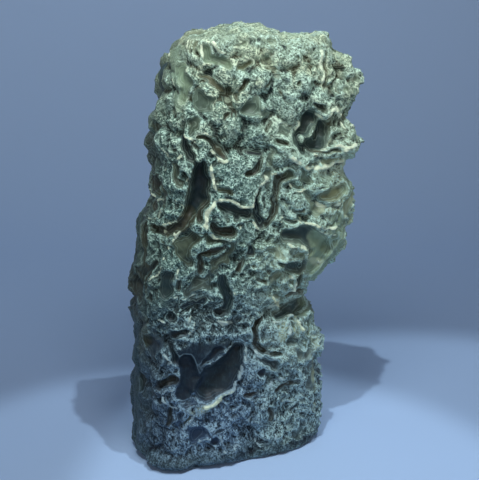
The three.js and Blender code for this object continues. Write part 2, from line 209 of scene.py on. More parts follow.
# Hollows with smooth walls: (tone, depth, path), each path point (x, height, radius) on the front.
hollows = [
    # long trough on the left that curls out to the left edge, and the slot beside it
    (night, 2.3, [(-5.7, 44.6, 1), (-5.6, 42, 1.5), (-6.1, 40, 1.8), (-7.4, 38, 1.2)]),
    (brown, 1.5, [(-7.4, 38, 1.2), (-8.7, 36.2, 1.1), (-10.4, 35.3, 0.8), (-12.8, 34.6, 0.5)]),
    (brown, 1.3, [(-5.1, 39.2, 0.45), (-5.9, 37.3, 0.55)]),
    # hooked oval pit and the trough under the lip
    (brown, 1.5, [(-4.1, 36.3, 0.55), (-3.6, 35.3, 0.8), (-1.7, 35.2, 0.8)]),
    (teal, 1.4, [(-3, 38.7, 0.7), (-1.2, 38.1, 0.95), (0.5, 37.5, 0.9)]),
    (teal, 1, [(-1, 37.6, 0.7), (-0.9, 36.8, 0.5)]),
    (olive, 0.7, [(-2.9, 40.8, 0.5), (-1.8, 40.8, 0.55)]),
    # dark ground above the trough, left of the knob
    (night, 1, [(-7.9, 50, 0.35), (-7.9, 48.4, 0.45), (-7.4, 46.9, 0.8), (-6.8, 45.6, 0.8)]),
    (brown, 1, [(-5.6, 48.3, 0.3), (-4.4, 48, 0.4), (-3.4, 46.4, 0.45), (-2.5, 45.3, 0.5)]),
    # knobbed hollow under the right lobe
    (teal, 2.4, [(9, 49.6, 1.2), (7.6, 47.4, 1.1), (8.2, 45.6, 1.2), (10.2, 46.4, 1.5),
        (10.6, 48.4, 1.2)]),
    (brown, 1.6, [(11.5, 50.2, 0.4), (11.5, 48.6, 0.6)]),
    (brown, 1, [(9.4, 45.2, 0.45), (11.8, 45, 0.5), (12.8, 44.9, 0.25)]),
    (brown, 0.6, [(8, 43.7, 0.25), (9.6, 43.5, 0.35)]),
    (brown, 0.8, [(10.5, 43.3, 0.25), (11.6, 43.6, 0.45), (12.7, 44, 0.25)]),
    (olive, 0.9, [(13.7, 50.2, 0.4), (13.8, 48.8, 0.5)]),
    # troughs round the leaf-shaped island
    (brown, 1.6, [(6.2, 42.4, 0.7), (4.9, 41.8, 0.8), (4.6, 39.6, 0.6), (4.2, 37.6, 0.65),
        (3.2, 35.9, 0.7)]),
    (night, 1.6, [(2.3, 40.9, 0.35), (1.6, 39, 0.55), (1.6, 37.2, 0.65), (2.6, 35.8, 0.6)]),
    (brown, 1, [(2.2, 44.5, 0.35), (1.6, 43.4, 0.6), (0.7, 42.9, 0.5)]),
    (night, 0.9, [(2.9, 39.5, 0.3), (2.8, 38.2, 0.35)]),
    (night, 0.9, [(0.6, 45.6, 0.5), (2, 45.2, 0.5)]),
    (brown, 1, [(4.4, 46.8, 0.5), (5.6, 46.6, 0.45)]),
    (brown, 0.9, [(3.6, 49.4, 0.35), (2.9, 48.4, 0.4)]),
    # right flank: a smooth window, arched panels and small pits
    (olive, 0.6, [(10.9, 39, 0.9), (12.6, 39, 1.1), (13.4, 39.4, 0.9)]),
    (brown, 0.9, [(6.7, 40.8, 0.35), (7.7, 40.7, 0.35)]),
    (brown, 0.5, [(9.2, 40.2, 0.3)]),
    (brown, 0.8, [(6.7, 37.5, 0.3), (8.1, 37.5, 0.3)]),
    (brown, 0.5, [(8.6, 35.9, 0.38)]),
    (teal, 0.9, [(5.5, 36, 0.4), (6.9, 35.8, 0.4)]),
    (teal, 1.3, [(6, 33.8, 1.1), (8, 33.6, 1.4), (9.6, 32.4, 1.5)]),
    (sage, 0.8, [(9.8, 33, 1.2), (10.8, 31, 1.5), (9.6, 28.8, 1.4)]),
    (teal, 1.2, [(7.8, 28.9, 1.2), (6.2, 29.2, 1), (5, 30.2, 0.5)]),
    # slots in the middle
    (brown, 1.1, [(-5.6, 32.3, 0.45), (-3.6, 32.4, 0.5), (-2.2, 32.8, 0.25)]),
    (brown, 1.4, [(-5.8, 31.9, 0.5), (-5.7, 29.5, 0.55)]),
    (brown, 1, [(0.1, 31, 0.4), (-0.6, 29.4, 0.5)]),
    (night, 0.8, [(1, 32.6, 0.5), (1, 31.7, 0.6)]),
    (brown, 0.6, [(1.5, 29.8, 0.35)]),
    (brown, 0.6, [(3.5, 28.8, 0.38)]),
    (brown, 0.6, [(3.4, 31, 0.38)]),
    (brown, 0.5, [(1.9, 27.8, 0.35), (2.9, 27.3, 0.45)]),
    (brown, 0.5, [(2.4, 25.2, 0.25), (3, 24.7, 0.3)]),
    (night, 0.5, [(-0.5, 25.3, 0.35)]),
    # grooved gully in the middle with its foot turned left
    (teal, 1.2, [(-2.9, 28.4, 0.8), (-2.6, 26.2, 0.9), (-2.1, 24.4, 0.85), (-2.4, 23.3, 0.7),
        (-3.8, 23.2, 0.45)]),
    # notch of the right edge and the dark face under it
    (brown, 1.6, [(7.8, 27.2, 0.8), (7.4, 25.6, 0.8), (6.6, 24.3, 0.6), (8.8, 24.2, 0.7)]),
    (night, 0.7, [(4.3, 24.8, 0.35), (5.3, 24.3, 0.3)]),
    (teal, 0.9, [(5, 21.6, 0.75), (6.6, 22.3, 0.8), (8.4, 22.8, 0.7)]),
    # curved groove round the pale island of the lower right, and the hole in that island
    (brown, 1.2, [(2.7, 21.9, 0.4), (1.6, 20.6, 0.5), (1.6, 18.4, 0.5), (2.7, 16.7, 0.55),
        (4, 16.1, 0.5), (5.2, 16.2, 0.3)]),
    (brown, 1, [(6.7, 20.2, 0.42), (7, 19.4, 0.42)]),
    (teal, 0.3, [(6.4, 17.7, 0.6), (7.4, 17.4, 0.6)]),
    (teal, 0.3, [(9.5, 20.4, 0.5), (9.3, 18, 0.5)]),
    # great dark hollow: a broad shallow left half and a deep leaf-shaped right half
    (navy, 1.3, [(-7.9, 16.6, 1.2), (-7.5, 14.2, 1.5), (-8, 12, 1.2)]),
    (night, 2.2, [(-4.9, 12.2, 2), (-3.6, 13.4, 2.7), (-2, 15.2, 2.2), (-0.6, 17.6, 0.9)]),
    (night, 1, [(-9.9, 19.4, 0.5), (-9.5, 17.2, 0.6)]),
    # pits at the left foot
    (brown, 1.5, [(-11.4, 13.2, 0.95), (-9.8, 13.8, 0.95)]),
    (brown, 1, [(-11.5, 10.9, 0.55)]),
    (brown, 0.8, [(-10.5, 9.5, 0.45), (-10.5, 8.2, 0.5), (-10.9, 6.9, 0.3)]),
    (olive, 0.7, [(-7.5, 8.3, 0.3), (-8.1, 7.1, 0.25)]),
    # left side, top to bottom
    (brown, 0.7, [(-12.6, 37.4, 0.9)]),
    (night, 0.6, [(-8.1, 43.1, 0.5)]),
    (brown, 0.6, [(-9.8, 46.3, 0.25), (-8.8, 46.5, 0.25)]),
    (night, 0.6, [(-9.3, 38.7, 0.3)]),
    (teal, 0.5, [(-10.3, 29.2, 0.9), (-10.4, 26.9, 1)]),
    (brown, 0.5, [(-8.8, 28.6, 0.4), (-8.8, 27.4, 0.4)]),
    (brown, 0.9, [(-12.4, 30.4, 0.5), (-13.2, 28.4, 0.7), (-13.6, 26.4, 0.6)]),
    (night, 0.5, [(-8, 25, 0.5), (-5.4, 25.3, 0.5)]),
    (night, 0.8, [(-9.8, 23.4, 0.7)]),
    (night, 0.8, [(-9.6, 21.1, 0.55), (-8.2, 21.3, 0.6)]),
    (brown, 0.6, [(-11.4, 20.9, 0.42)]),
    # top band
    (brown, 1.2, [(-5.8, 61, 0.35), (-5.85, 59, 0.38), (-5.6, 57.4, 0.38), (-5.2, 56.4, 0.35)]),
    (brown, 0.5, [(-6.5, 60.8, 0.35), (-6.5, 58.8, 0.38)]),
    (sage, 0.5, [(-8, 58.6, 0.5)]),
    (sage, 0.7, [(-8.4, 56.4, 1.2), (-7.5, 54.6, 0.9), (-8, 52.8, 0.6)]),
    (teal, 0.3, [(-11, 56.2, 1), (-11.2, 53.5, 1)]),
    (sage, 0.9, [(-4.9, 59, 0.8), (-4.5, 58, 0.7), (-3, 57.6, 0.6), (-1.7, 57.2, 0.5)]),
    (sage, 0.5, [(-1.2, 59.5, 0.4), (0.3, 59.6, 0.4)]),
    (olive, 0.8, [(2, 60, 0.4), (1.2, 58.1, 0.42)]),
    (olive, 0.8, [(0.5, 57.4, 0.45), (-0.6, 56.3, 0.5)]),
    (brown, 1.1, [(0, 55.2, 0.42), (-0.7, 53.4, 0.45)]),
    (brown, 0.7, [(2.1, 57.8, 0.28), (3, 57, 0.3), (4.1, 56.6, 0.3)]),
    (brown, 0.7, [(4.3, 55.6, 0.5)]),
    (brown, 0.6, [(3.4, 55.2, 0.3), (3, 53.4, 0.33)]),
    (brown, 0.5, [(1.6, 55.1, 0.35)]),
    (brown, 0.8, [(-5.8, 55.6, 0.45), (-4.4, 55.3, 0.45), (-2.9, 54.2, 0.45)]),
    (brown, 0.6, [(-6, 55, 0.35), (-7, 53.2, 0.38)]),
    (brown, 0.5, [(-2.4, 52.9, 0.3), (-1.1, 52.4, 0.3)]),
    (brown, 0.7, [(-2.2, 51.4, 0.45), (-3, 50.8, 0.35)]),
    (sage, 0.5, [(7, 57.9, 0.5)]),
    (brown, 0.5, [(8.3, 55.7, 0.4)]),
    (brown, 0.5, [(7.3, 54.5, 0.4)]),
    (sage, 0.4, [(9.5, 59.3, 0.3)]),
    (brown, 0.4, [(5, 58.7, 0.25), (5, 58.2, 0.25)]),
    (brown, 0.5, [(5, 53.8, 0.3), (5, 53.1, 0.3)]),
    (brown, 0.4, [(7.7, 52.6, 0.3)]),
    (brown, 0.9, [(10.2, 57.9, 0.3), (10.2, 56.4, 0.3), (10.8, 55, 0.35), (10.8, 53.4, 0.3)]),
    (sage, 0.6, [(13, 55.1, 0.45), (13.5, 54.5, 0.35)]),
    (brown, 0.4, [(12.2, 53.7, 0.25), (12.3, 52.3, 0.25)]),
    (sage, 0.4, [(13.1, 52.9, 0.6)]),
    (night, 0.7, [(13.9, 52.7, 0.16)]),
    (night, 0.6, [(9.6, 51.4, 0.5), (10.6, 51.2, 0.5)]),
    # rough lower right
    (brown, 0.7, [(4.4, 10.5, 0.5), (5.6, 11.1, 0.55), (7.6, 10.9, 0.5)]),
    (brown, 0.6, [(0.2, 10.6, 0.4), (1.6, 10.5, 0.45)]),
    (brown, 0.6, [(3.7, 7.6, 0.5), (3.8, 6.2, 0.6)]),
    (night, 0.6, [(6.9, 6.9, 0.5), (7.9, 7.3, 0.5)]),
    (night, 0.5, [(-4.6, 5.8, 0.35), (-3, 5.9, 0.35)]),
    (night, 0.4, [(-5, 8.8, 0.12), (-3.9, 9.2, 0.12)]),
    (navy, 0.3, [(2.6, 13.6, 0.7)]),
]

# Islands and knobs inside or beside the hollows: (height of the top, path).
islands = [
    (-0.2, [(3.6, 40.3, 0.5), (3.5, 39, 0.5), (3.1, 37.4, 0.3)]),
    (-0.2, [(2.5, 39.8, 0.2), (2.4, 38.2, 0.2), (3, 37, 0.2)]),
    (-0.6, [(8, 47.3, 0.38), (8.1, 46.7, 0.3)]),
    (-0.7, [(10, 48.2, 0.2), (9.9, 47.4, 0.16)]),
    (-0.6, [(8.8, 45.5, 0.2), (8.9, 44.7, 0.2)]),
    (0.5, [(-5.4, 47.2, 0.5), (-4.6, 47, 0.5), (-5.2, 46.4, 0.6), (-5.8, 45.6, 0.5)]),
    (0.4, [(-9.9, 47.9, 0.6), (-8.9, 47.6, 0.6)]),
    (0.1, [(5.7, 31.6, 0.45), (7.4, 31.6, 0.5), (8.4, 31.2, 0.35), (8.2, 30.7, 0.25)]),
    (0.1, [(5.8, 30.9, 0.5), (6.6, 30.5, 0.4)]),
    (0, [(7.7, 29.8, 0.2), (7.9, 28.8, 0.2)]),
    (0.5, [(5.3, 27.3, 0.8), (5.5, 26.2, 1), (4.9, 25.6, 0.7)]),
    (0.3, [(-3.3, 37.6, 0.35), (-2.8, 36.6, 0.5)]),
]

# Crisp crests: (rise, path), each path point (x, height, half-width).
# There are perMm units of rise and half-width to a mm.
perMm = 100
crests = [
    (35, [(-5.2, 61, 16), (-5.25, 59, 16), (-5, 57.5, 16), (-4.6, 56.5, 14)]),
    (30, [(-7.2, 60.5, 12), (-7.2, 57.2, 12)]),
    (30, [(-9.7, 58, 15), (-9.8, 55.4, 15), (-9.2, 52.8, 13)]),
    (40, [(-3.9, 59.8, 20), (-3.2, 59, 20), (-2.3, 58.6, 15)]),
    (30, [(-0.5, 58.5, 14), (0.1, 59, 14), (0.6, 58.5, 14), (0.1, 58, 14)]),
    (30, [(9.8, 58.2, 14), (9.7, 56.6, 14), (10.3, 55.2, 14), (10.3, 53.6, 12)]),
    (35, [(-7.8, 50.4, 13), (-7.5, 48.3, 15), (-6.4, 47.9, 15), (-5.8, 47.4, 15)]),
    (30, [(-5.8, 48.5, 12), (-4.8, 48.9, 14), (-3.9, 48.3, 12)]),
    (50, [(-4.3, 46.7, 20), (-3.4, 45.2, 22), (-2.7, 44.8, 20), (-2.3, 45, 15)]),
    (50, [(-4.5, 45.6, 15), (-4.1, 44, 20), (-3.9, 42.2, 22), (-3.5, 41.2, 25), (-3.4, 39.8, 22)]),
    (45, [(-3.4, 39.6, 22), (-1.6, 39.5, 20), (-0.4, 38.9, 20), (0.4, 38.5, 25), (1, 38.6, 20)]),
    (40, [(1, 38.7, 15), (1.3, 39.6, 18), (2.1, 40.9, 20), (3.2, 41.7, 25), (2.8, 42.5, 15)]),
    (35, [(-3.2, 41.6, 12), (-2.3, 41.7, 14), (-1.4, 41.2, 12), (-1.2, 40.6, 10)]),
    (40, [(-10.6, 46, 13), (-9.8, 44.4, 14), (-9.5, 44.3, 14), (-8.2, 45.8, 13)]),
    (30, [(-10.9, 43.3, 10), (-9.6, 44.1, 10)]),
    (30, [(-7.3, 43.9, 10), (-7.1, 43, 12), (-7.5, 42.2, 10)]),
    (35, [(-13.1, 35.6, 13), (-11.7, 36, 15), (-11.2, 37.4, 15), (-10.2, 38.6, 15), (-9.6, 39.3, 12)]),
    (30, [(-13.2, 38.8, 10), (-12.3, 38.2, 13), (-11, 39.3, 13), (-10.2, 40.1, 13), (-9.2, 39.5, 13),
        (-8.4, 38.8, 10)]),
    (35, [(-12.8, 34.3, 12), (-11.6, 35.2, 15), (-10.4, 36.1, 14), (-9.4, 36.6, 12)]),
    (40, [(-6.7, 38.4, 10), (-8, 36.1, 14), (-9.2, 35, 16), (-11.8, 35, 20)]),
    (30, [(-9.2, 34.9, 10), (-9.8, 34.2, 10)]),
    (40, [(-3.6, 39.4, 20), (-4.5, 38.5, 25), (-4.9, 37.2, 25), (-5, 36, 20), (-4.6, 34.9, 18),
        (-3.9, 34.1, 18)]),
    (30, [(-3.9, 34.1, 15), (-2.2, 34.1, 15), (-0.9, 34.6, 14), (-0.6, 35.6, 12)]),
    (30, [(-6.6, 37.8, 12), (-6.5, 36.8, 14), (-5.8, 36.5, 14), (-5.2, 36.8, 12)]),
    (35, [(1.3, 36.2, 12), (2.3, 35.2, 16), (2.3, 34, 15), (2, 33, 12)]),
    (30, [(-10.6, 33.5, 10), (-10.2, 33.2, 14), (-10.3, 32.3, 10)]),
    (30, [(-11, 31.6, 10), (-11.3, 29.8, 12), (-12.5, 28.2, 10), (-13.1, 26.6, 10)]),
    (30, [(-9.2, 30.4, 10), (-9.3, 29.2, 12), (-8.8, 28.9, 10)]),
    (30, [(-10, 25.7, 14), (-9.1, 26.3, 14), (-8, 26.1, 10), (-6.2, 26.1, 10)]),
    (35, [(-11.5, 23.2, 12), (-10.1, 22.2, 12), (-9.6, 22.2, 13), (-8, 22.7, 13), (-7.2, 22.9, 12)]),
    (30, [(-6.9, 22.5, 10), (-6.9, 21.8, 13), (-7.7, 21, 13), (-7.2, 20.4, 10)]),
    (30, [(-11.7, 18.6, 12), (-10.8, 18, 12), (-10, 16.9, 12), (-10.8, 16.1, 10)]),
    (30, [(-2, 26, 10), (-1.3, 25, 12), (-1.2, 23.6, 12), (-1.6, 22.9, 12), (-2.6, 22.4, 10)]),
    (30, [(-1.6, 26.2, 10), (-1, 25.2, 10), (-0.9, 23.4, 12), (-1.2, 22.5, 14)]),
    (30, [(-3.5, 22.1, 20), (-2.2, 21.6, 30), (-1.6, 21.4, 25)]),
    (30, [(0.5, 18.4, 10), (0.3, 16.8, 15), (-0.1, 15, 15), (-0.8, 13.4, 20)]),
    (45, [(-0.8, 13.4, 20), (-1.8, 11.6, 30), (-3.2, 10.3, 40), (-5.2, 9.5, 40)]),
    (35, [(0.9, 19.6, 12), (1, 18, 14), (1.9, 16.6, 20), (2.6, 15.6, 22), (4.4, 15.4, 16)]),
    (30, [(-3.9, 16.3, 14), (-3.2, 16.7, 14), (-1.4, 17.7, 10), (-0.4, 18.5, 10)]),
    (30, [(-10.9, 12, 13), (-9.6, 12.4, 14), (-8.9, 13.3, 12)]),
    (35, [(-11, 11.7, 13), (-10.5, 10, 13), (-9.4, 9.9, 13)]),
    (40, [(-7, 8.4, 14), (-7.8, 6.6, 16)]),
    (35, [(6, 44.8, 20), (7.3, 43.8, 25), (8.8, 43, 25), (10.4, 42.9, 22), (12.2, 43.2, 22),
        (13.4, 43.4, 20)]),
    (35, [(8.9, 44.8, 14), (10.2, 44.4, 18), (11.8, 44.3, 14)]),
    (35, [(7.2, 50.6, 16), (8.4, 50.9, 16), (9.6, 50.3, 14), (10.9, 49.3, 16)]),
    (35, [(7.2, 49.6, 25), (7.5, 48.8, 25), (7.1, 48.3, 18)]),
    (30, [(10.9, 49.8, 13), (11.1, 50.7, 15), (12, 50.8, 18), (12.4, 49.6, 25), (12.9, 49.2, 25)]),
    (35, [(12.1, 47.6, 14), (11.6, 46, 20), (10.9, 45.5, 25), (12.2, 45.6, 14), (13.6, 45.3, 14)]),
    (40, [(13.2, 48.4, 16), (13.6, 47.4, 14), (14.6, 47.7, 16), (15.2, 47.2, 14)]),
    (40, [(13, 45, 12), (14.3, 45.5, 14), (15.6, 45.6, 16)]),
    (35, [(3.7, 42.3, 14), (4.6, 42.3, 14), (5.7, 43, 16)]),
    (30, [(6.3, 40.9, 14), (6.6, 40.2, 14), (7.4, 39.9, 16), (8.2, 40.4, 14)]),
    (30, [(4.7, 36, 12), (5.4, 36.7, 13), (6.6, 36.5, 13), (7.6, 35.9, 12), (8, 35.2, 13),
        (8.9, 35, 20)]),
    (25, [(5, 35.6, 10), (6, 36.1, 10), (7.2, 35.7, 10), (7.9, 34.9, 14)]),
    (35, [(8.9, 35, 20), (10.4, 34.5, 14), (12, 34.3, 16), (13.6, 34.8, 14)]),
    (25, [(9.6, 34.4, 10), (10.8, 33.5, 14), (12.3, 33.2, 12)]),
    (35, [(10.1, 37.7, 25), (11.4, 37.5, 25), (13.2, 37.3, 20)]),
    (30, [(4.7, 33.6, 12), (5.4, 32.9, 13), (7.4, 32.3, 14), (8.9, 31.4, 16), (8.4, 30.6, 16)]),
    (30, [(5.4, 32, 10), (5.6, 30.7, 13), (6.2, 30.2, 13), (7, 30.3, 12)]),
    (25, [(10.1, 31.6, 8), (10.1, 29.8, 8)]),
    (25, [(10.6, 31.4, 8), (10.5, 29.6, 8)]),
    (30, [(9.2, 29.3, 10), (10.2, 29.2, 12), (10.6, 28.4, 10), (11.4, 27.9, 10)]),
    (35, [(4.2, 25.1, 12), (5.6, 25.1, 14), (6.6, 25.6, 16), (6.8, 26.8, 16), (6.2, 27.8, 13)]),
    (45, [(3.9, 25.2, 14), (4.6, 23.8, 18), (5.5, 22.9, 25), (4.2, 22.5, 16), (2.6, 22.2, 12)]),
    (30, [(4.4, 20.9, 12), (5.6, 20.6, 14), (6.2, 20, 16), (6.1, 18.8, 14)]),
    (30, [(6.2, 21.2, 20), (7.2, 21.3, 20), (7.9, 20.2, 30), (8, 19, 25)]),
    (30, [(3.2, 11, 14), (4.4, 12, 20), (5.4, 12.4, 18)]),
    (30, [(4.6, 8, 10), (4.6, 6.4, 14), (4.4, 5.6, 10)]),
    (30, [(5.6, 8.4, 12), (7.4, 8.4, 14), (8.4, 7.6, 12)]),
    (25, [(0.9, 7.7, 10), (1.2, 7.2, 14), (0.6, 6.3, 14)]),
    (25, [(2.2, 4.4, 10), (2, 2.8, 12), (2.4, 2.2, 14)]),
    (25, [(3.6, 4.7, 10), (4.2, 4.2, 12), (4.3, 3.2, 10)]),
    (25, [(-1.7, 2.2, 10), (-1.1, 3.1, 12), (-0.3, 2.4, 10)]),
    (30, [(-4.2, 5.1, 10), (-3.6, 4.7, 20), (-3.2, 3.2, 12), (-2.6, 1.6, 12)]),
    (25, [(-6.2, 4.4, 15), (-5.2, 4.8, 15)]),
]

# Wide swells under the skin: (height, path).
swells = [
    (0.8, [(-9.5, 0.9, 2.4), (-2.5, 0.9, 2.4)]),
    (-1, [(-7, 17.4, 2.6), (-6.2, 14.6, 3)]),
    (0.6, [(14.6, 45.2, 1.2)]),
    (0.5, [(13.6, 40.6, 1.3)]),
    (0.4, [(3.6, 19.8, 1.2), (4.8, 18.4, 1.3)]),
    (0.4, [(0.8, 12.6, 1.2), (0.9, 15.4, 0.8)]),
    (0.3, [(-2.5, 55.5, 1.4)]),
    (0.4, [(0.6, 34.8, 1.4)]),
]
# Tints without relief: (tone, strength, path)
washes = [
    (brown, 0.5, [(-12.4, 49.5, 1.2), (-12.8, 42, 1.6), (-14.4, 33, 1.5)]),
    (brown, 0.5, [(-15.4, 30, 1.5), (-15.9, 22, 1.5)]),
    (teal, 0.6, [(-15.8, 16, 1.8), (-15.8, 5, 2)]),
    (olive, 0.5, [(-14, 21, 1.6), (-14.6, 17, 1.6)]),
    (sage, 0.85, [(12.8, 35, 1.6), (12.6, 31, 1.8), (10.8, 28.6, 1.6), (9.6, 26.8, 1)]),
    (sage, 0.6, [(14, 43, 1.6), (14.2, 38, 1.5)]),
    (cream, 0.7, [(9, 43.2, 1), (12.6, 42.8, 1.4), (14, 41.2, 1.2)]),
    (cream, 0.5, [(10.6, 37.4, 0.8), (13.4, 37.2, 0.8)]),
    (cream, 0.8, [(5.4, 19.9, 0.7), (5.2, 18.6, 0.8)]),
    (cream, 0.6, [(7.4, 20.6, 0.8), (7.6, 19.2, 0.8), (6.9, 18.6, 0.4)]),
    (cream, 0.7, [(10, 17.6, 0.5), (10.4, 15.6, 0.8), (10.6, 13.2, 0.6)]),
    (cream, 0.5, [(-7.2, 9.2, 0.7), (-5.4, 9.2, 0.8), (-3.2, 10.2, 0.45), (-1.8, 11.4, 0.2)]),
    (sage, 0.6, [(9.6, 22.8, 0.9), (10.2, 19.8, 0.8)]),
    (teal, 0.6, [(-10, 25.2, 1.4), (-10.2, 29, 1.4)]),
    (night, 0.75, [(-8.5, 24, 2.2), (-4, 24, 2), (-4.5, 21.5, 1.6), (0, 21.5, 1.2)]),
    (navy, 0.9, [(-8.2, 17.6, 1.6), (-6.4, 17.6, 2), (-4.2, 17.8, 1.7), (-2.4, 18.4, 0.9)]),
    (navy, 0.9, [(-6.4, 17, 2), (-6.9, 13.6, 2), (-8, 11.8, 1.4)]),
    (sage, 0.7, [(-9.2, 58, 1.5), (-8.6, 54.6, 1.8), (-8.4, 52.4, 1.3)]),
    (sage, 0.4, [(6, 43, 1), (8.6, 41.2, 1.6), (11, 40.6, 1.8)]),
    (sage, 0.45, [(9, 21.4, 1.6), (9.4, 17, 1.4)]),
    (cream, 0.7, [(5.7, 31.6, 0.6), (7.4, 31.6, 0.7), (8.2, 31, 0.6)]),
    (cream, 0.6, [(9.3, 29.3, 0.5), (10.6, 28.6, 0.6)]),
    (cream, 0.5, [(4, 24.6, 0.8), (5.2, 23.2, 0.8)]),
    # a painted highlight along the lower right edge
    (cream, 0.4, [(10.4, 12.5, 0.7), (10.6, 5.5, 0.6)]),
]

# Flat tops that no channel crosses, each point (x, height, radius).
plateaus = [
    [(-1.5, 43.6, 1.9), (0.6, 41.4, 1.8), (-1.6, 41.4, 1.4)],
    [(4.8, 44.4, 1.1)],
    [(-2.5, 55.6, 1.4)],
    [(0.7, 34.8, 1.5)],
    [(1, 24.2, 1.6), (3.6, 24, 1.2)],
    [(3.9, 19.6, 1.2), (5.1, 18.4, 1.2)],
    [(1.3, 14.6, 1.3), (2, 12.4, 1.2)],
    [(10.8, 41.9, 1.7), (13, 41.6, 1.4)],
    [(7, 38.6, 0.8), (8.6, 37.6, 0.8)],
    [(11.8, 36, 1.2)],
    [(4, 52, 1.4), (6, 50.2, 1)],
]
saddle = (0.8, [(12.3, -4.5, 57.6, 0.8), (12.2, 0, 58.6, 0.8), (12, 4.5, 58.6, 0.8)])
hidden = {
    "count": 34, "turns": (0.33, 0.78), "heights": (5, 57), "radii": (0.9, 2.2), "drops": (1, 6),
    "sways": (-0.03, 0.03), "depths": (0.7, 1.7), "lowest": 2, "lowerRadius": 0.7,
    "steps": {  # what each value's share grows by from one hollow to the next
        "turns": 0.618034, "heights": 0.754878, "radii": 0.569840, "drops": 0.381966,
        "sways": 0.819173, "depths": 0.245122, "tones": 0.435,
    },
}

relief = Values(
    lumpSize=3.1, lumpHeight=1.05, lumpReach=0.8, lumpFloor=-0.2, lumpSink=0.72,
    lumpShare=[(0, 0.8), (30, 0.8), (44, 1.1), (50, 1.6), (61, 1.6)],
    swell=0.35, swellSize=9, swellTurns=(5, 4), swellStart=1.3, swellSlant=0.5,
    crownFade=(60.5, 56.5), crownRough=0.2,
    channelSize=2.9, channelSlope=2.3, channelDepth=0.95, channelFull=1.1,
    channelGrains=[(0.62, 1, 31), (0.38, 2.1, 32)],  # (share, how much finer, salt)
    channelLevel=[(0, -0.45), (9, -0.34), (18, -0.2), (30, -0.1), (42, -0.12), (47, -0.3), (61, -0.4)],
    plateauLift=1.2, plateauRise=0.1, plateauFlat=0.6, plateauEdge=(1.1, 0.7),
    crags=[(2.3, 0.55), (1.15, 0.5), (0.6, 0.28)],  # (spacing, height) of the jagged upper skin
    cragShare=[
        (0, 0.5), (8, 0.85), (14, 0.95), (24, 0.9), (40, 0.85), (46, 0.8), (56, 0.7), (59, 0.5), (61, 0.4),
    ],
    cragWidth=1.7, cragPower=1.6, cragMean=0.55, cragFlank=0.4, cragSalt=20,
    wander=[(2.6, 0.34), (1.2, 0.28), (0.55, 0.12)],  # (spacing, distance) by which every edge strays
    depthShare=0.62, hollowEdge=(0.1, -0.25), hollowMargin=3, clear=0.5,
    islandEdge=(-0.1, 0.2), islandCrown=0.12,
    wall=0.3, wallStart=0.08, wallDrop=0.22, wallRough=0.2,
    rimHeight=0.09, rimWidth=0.13, rimPlace=0.1, rimGaps=(-0.4, 0.3), rimSize=1.7, rimSalt=40,
    crestNarrow=0.9, crestEdge=0.25, crestEdgeFrom=(0.15, 0.6),
    fineStand=(3, 0.12), wideStand=(24, 0.6),  # (passes of smoothing, height that counts as one)
)
toneLook = Values(
    flankBrown=0.45, flankTeal=0.6, flankTurn=(15, 22), flankCalm=0.75,
    edgeTone=0.5, washEdge=(1.1, 0.6), soft=(sage, teal, navy),
)
calmShares = {cream: 0.3, night: 0.45}
# How far a hollow's rim strays: on the back, round a wide one, round a narrow one near the crown, elsewhere.
strays = Values(
    back=2.2, wide=0.3, crown=1.7, other=1.0,
    backFrom=2, wideFrom=1.9, crownFrom=50, narrowTo=0.75,
)


# a path of (x, height, radius) as points of the front and their radii
def placed(path):
    path = np.array(path, float)
    return frontAt(path[:, 0], path[:, 1]), path[:, 2]


# the hollows of the flanks and the back, spread by shares that never repeat
def hiddenPaths():
    paths = []
    for n in range(1, hidden["count"] + 1):
        share = {name: fraction(n * step) for name, step in hidden["steps"].items()}
        turn, height, drop, sway, depth = (
            mix(*hidden[name], share[name]) for name in ("turns", "heights", "drops", "sways", "depths"))
        radius = mix(*hidden["radii"], share["radii"] ** 2)
        ends = skinAt([turn, turn + sway], [height, max(height - drop, hidden["lowest"])])
        tone = int(share["tones"] * len(tones))
        paths.append((tone, depth, (ends, np.array([radius, radius * hidden["lowerRadius"]]))))
    return paths


# nearest place of a path to each point: its distance as a share of the radius there, and that radius
def reach(path, points):
    spots, radii = path
    share = np.linalg.norm(points - spots[0], axis=1) / radii[0]
    radius = np.full(len(points), radii[0])
    for i in range(1, len(spots)):
        run = spots[i] - spots[i - 1]
        f = clamp((points - spots[i - 1]) @ run / (run @ run))
        here = mix(radii[i - 1], radii[i], f)
        now = np.linalg.norm(points - spots[i - 1] - f[:, None] * run, axis=1) / here
        nearer = now < share
        share, radius = np.where(nearer, now, share), np.where(nearer, here, radius)
    return share, radius


# which points lie within a margin of a path
def near(path, points, margin=1):
    spots, radii = path
    low, high = spots.min(0) - radii.max() - margin, spots.max(0) + radii.max() + margin
    return np.flatnonzero(np.all((points > low) & (points < high), axis=1))


# the points near a path of the front, with what reach says of them after they have bent
def along(path, points, bent):
    path = placed(path)
    at = near(path, points)
    return at, *reach(path, bent[at])


def turnOf(share):
    (first, last), full = column.frontTurns, column.frontShare
    rest = (share - full) / (1 - full)
    return np.where(share < full, mix(first, last, share / full), mix(last, first + 1, rest))


